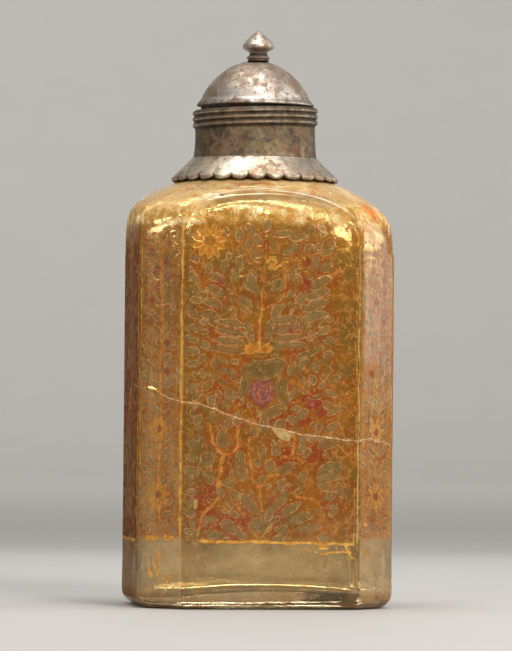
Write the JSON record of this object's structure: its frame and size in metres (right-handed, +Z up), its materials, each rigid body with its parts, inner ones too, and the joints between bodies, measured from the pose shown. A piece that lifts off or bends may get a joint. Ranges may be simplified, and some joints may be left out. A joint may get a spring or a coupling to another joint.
{
  "type": "lidded glass bottle",
  "caption": "Oblong glass bottle with cut corners, painted flowering plants, a scalloped metal neck mount and a domed lift-off lid with a knob.",
  "frame": {"origin": "on the ground, under the middle of the bottle's body", "axes": "+Z up; +X along the body's width, to the right as seen from the front; the front face looks along -Y"},
  "size_m": [0.067, 0.052, 0.1501],
  "materials": {
    "painted_glass": "clear honey-brown glass with worn gilt and enamel paint",
    "tarnished_silver": "worn sheet silver with brown and green tarnish",
    "worn_silver": "worn silver, brighter where it is handled"
  },
  "bodies": {
    "root": {"glass_bottle": "painted_glass", "neck_mount": "tarnished_silver", "domed_lid": "worn_silver", "lid_knob": "worn_silver"}
  },
  "joints": []
}
